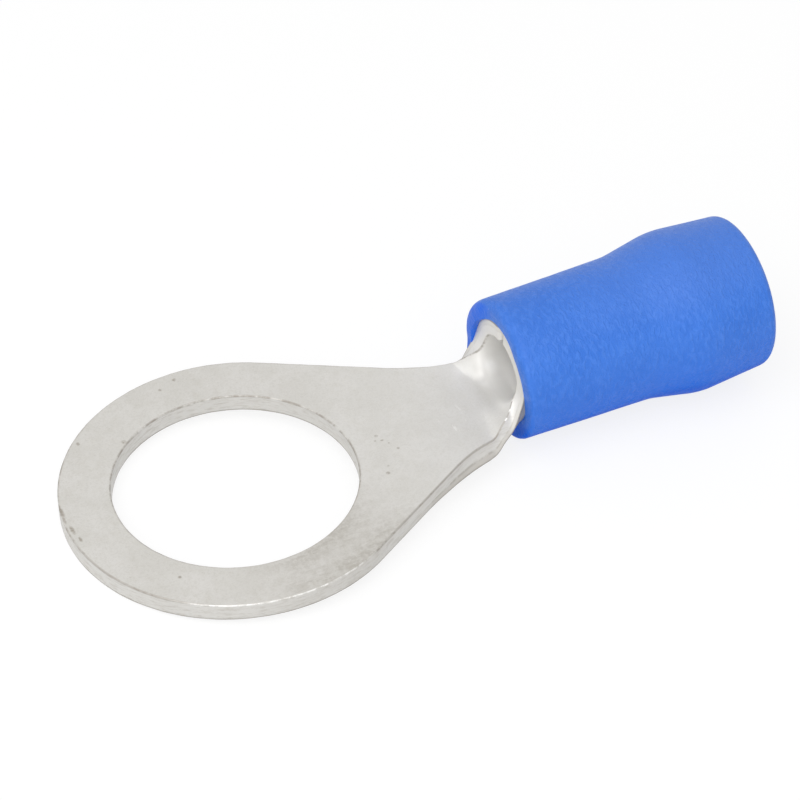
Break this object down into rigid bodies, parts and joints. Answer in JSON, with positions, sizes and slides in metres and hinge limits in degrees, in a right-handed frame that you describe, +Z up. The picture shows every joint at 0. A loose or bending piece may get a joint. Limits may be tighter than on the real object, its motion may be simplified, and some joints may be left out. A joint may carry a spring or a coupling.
{
  "type": "ring terminal",
  "caption": "Insulated ring terminal: a flat tinned ring whose tongue curls up into a rolled crimp barrel, with a flared plastic sleeve over the barrel and a funnel entry for stranded wire.",
  "frame": {"origin": "centre of the stud hole on the tongue's underside", "axes": "+X from the ring towards the wire entry, along the tongue and the barrel; +Z up through the stud hole, towards the side that the barrel rises on"},
  "size_m": [0.0254, 0.012, 0.0059],
  "materials": {
    "tinned_metal": "satin tin plate",
    "blue_sleeve": "matt, finely grained"
  },
  "bodies": {
    "root": {"terminal_body": "tinned_metal", "insulation_sleeve": "blue_sleeve"}
  },
  "joints": []
}
